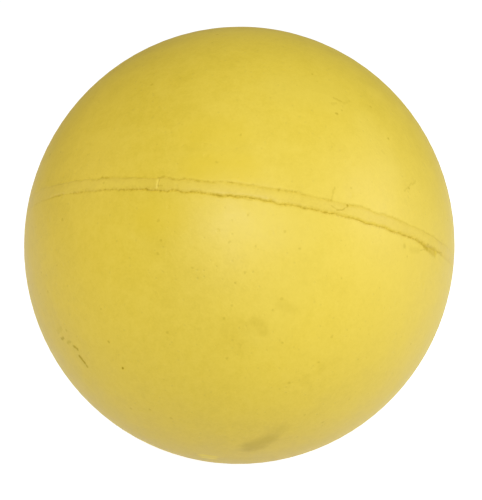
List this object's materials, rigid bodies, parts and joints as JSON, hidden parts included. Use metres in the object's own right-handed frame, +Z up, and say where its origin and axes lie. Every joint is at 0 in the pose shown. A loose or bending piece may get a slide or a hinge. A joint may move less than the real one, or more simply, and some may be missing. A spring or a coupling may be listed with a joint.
{
  "type": "rubber ball",
  "caption": "Hollow yellow rubber ball of moulded half shells cemented at the equator under a narrow seam strip; it bounces and is thrown, hit or squeezed by hand.",
  "frame": {"origin": "on the flat patch that the ball rests on, straight below the ball's centre", "axes": "+Z up, away from the ground; +Y the way the picture looks; the seam's axis leans 25 degrees toward +Y and 7.5 degrees toward +X"},
  "size_m": [0.065, 0.0652, 0.0657],
  "materials": {
    "shell_rubber": "matte with a soft sheen, fine pitted grain",
    "strip_rubber": "matte, a little paler than the shells",
    "rubber_cement": "satin",
    "plug_rubber": "matte"
  },
  "bodies": {
    "root": {"upper_half_shell": "shell_rubber", "lower_half_shell": "shell_rubber", "bond_ring": "rubber_cement", "seam_strip": "strip_rubber", "inflation_plug": "plug_rubber"}
  },
  "joints": []
}
